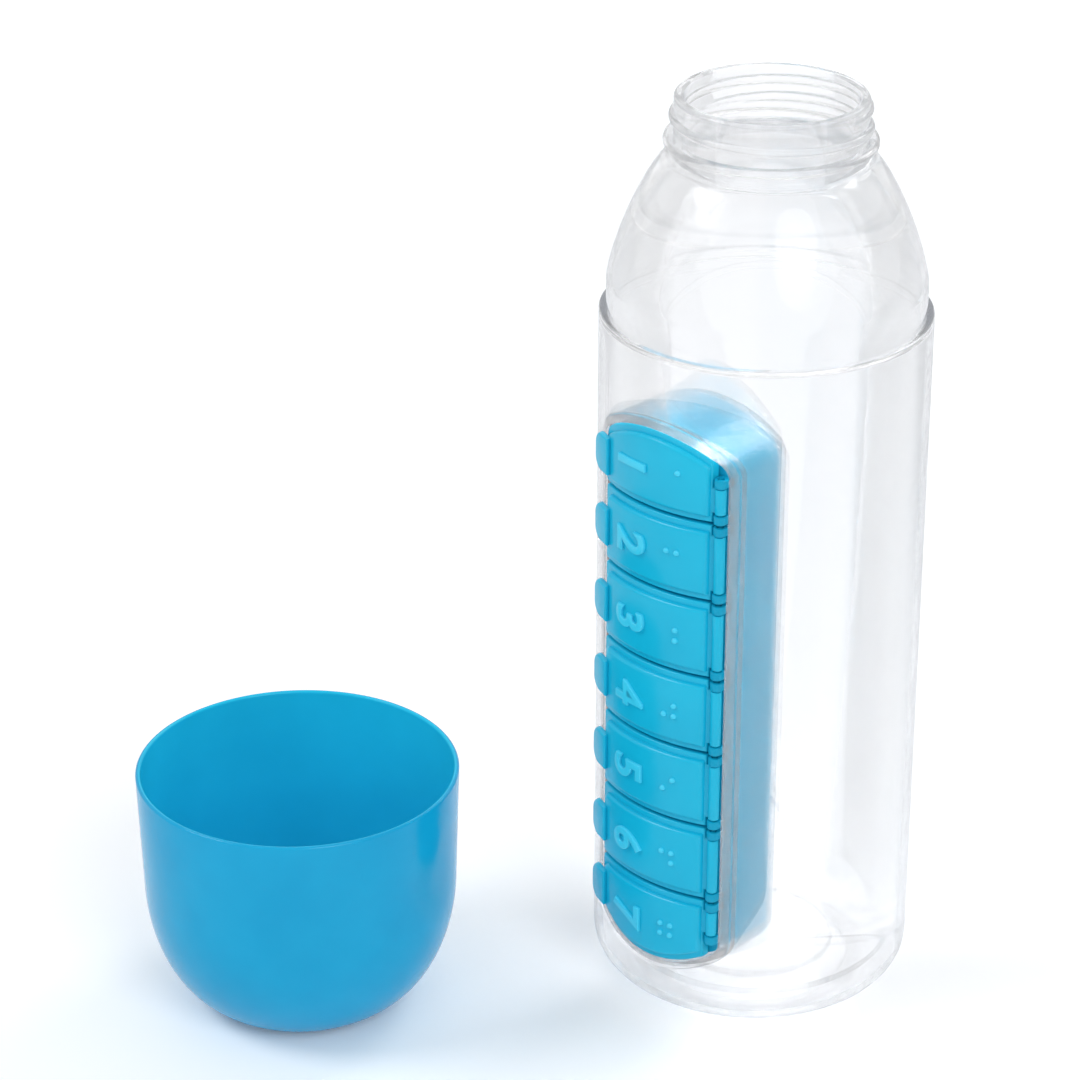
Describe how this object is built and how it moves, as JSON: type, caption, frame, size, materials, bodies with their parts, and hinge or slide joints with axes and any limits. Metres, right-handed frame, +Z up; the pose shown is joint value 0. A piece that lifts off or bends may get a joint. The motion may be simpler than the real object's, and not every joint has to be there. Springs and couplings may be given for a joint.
{
  "type": "water bottle with pill holder",
  "caption": "Clear drinking bottle whose side recess holds a pull-out pill organizer with hinged lids, with a domed drinking cup standing beside it.",
  "frame": {"origin": "on the table, at the centre of the footprint of bottle and cup; the bottle's axis is at +34, +42 mm and the cup's at -34, -42 mm", "axes": "+Z up along the bottle's axis; the organizer faces -Y; its hinge line is on the +X side"},
  "size_m": [0.143, 0.159, 0.218],
  "materials": {
    "clear_plastic": "clear, colourless, glossy",
    "blue_tray": "sky blue, satin gloss",
    "blue_lids": "sky blue, satin gloss",
    "blue_cup": "sky blue, glossy"
  },
  "bodies": {
    "bottle": {"bottle": "clear_plastic", "cup": "blue_cup"},
    "organizer": {"organizer_tray": "blue_tray"},
    "lid_1": {"lid_1": "blue_lids"},
    "lid_2": {"lid_2": "blue_lids"},
    "lid_3": {"lid_3": "blue_lids"},
    "lid_4": {"lid_4": "blue_lids"},
    "lid_5": {"lid_5": "blue_lids"},
    "lid_6": {"lid_6": "blue_lids"},
    "lid_7": {"lid_7": "blue_lids"}
  },
  "joints": [
    {"name": "organizer_pull_out", "type": "slide", "parent": "bottle", "child": "organizer", "axis": [0, -1, 0], "range_m": [0, 0.04]},
    {"name": "lid_1_hinge", "type": "hinge", "parent": "organizer", "child": "lid_1", "pos_m": [0.05, 0.00763, 0.1408], "axis": [0, 0, 1], "range_deg": [0, 120]},
    {"name": "lid_2_hinge", "type": "hinge", "parent": "organizer", "child": "lid_2", "pos_m": [0.05, 0.00763, 0.1216], "axis": [0, 0, 1], "range_deg": [0, 120]},
    {"name": "lid_3_hinge", "type": "hinge", "parent": "organizer", "child": "lid_3", "pos_m": [0.05, 0.00763, 0.1024], "axis": [0, 0, 1], "range_deg": [0, 120]},
    {"name": "lid_4_hinge", "type": "hinge", "parent": "organizer", "child": "lid_4", "pos_m": [0.05, 0.00763, 0.0832], "axis": [0, 0, 1], "range_deg": [0, 120]},
    {"name": "lid_5_hinge", "type": "hinge", "parent": "organizer", "child": "lid_5", "pos_m": [0.05, 0.00763, 0.064], "axis": [0, 0, 1], "range_deg": [0, 120]},
    {"name": "lid_6_hinge", "type": "hinge", "parent": "organizer", "child": "lid_6", "pos_m": [0.05, 0.00763, 0.0448], "axis": [0, 0, 1], "range_deg": [0, 120]},
    {"name": "lid_7_hinge", "type": "hinge", "parent": "organizer", "child": "lid_7", "pos_m": [0.05, 0.00763, 0.0256], "axis": [0, 0, 1], "range_deg": [0, 120]}
  ]
}
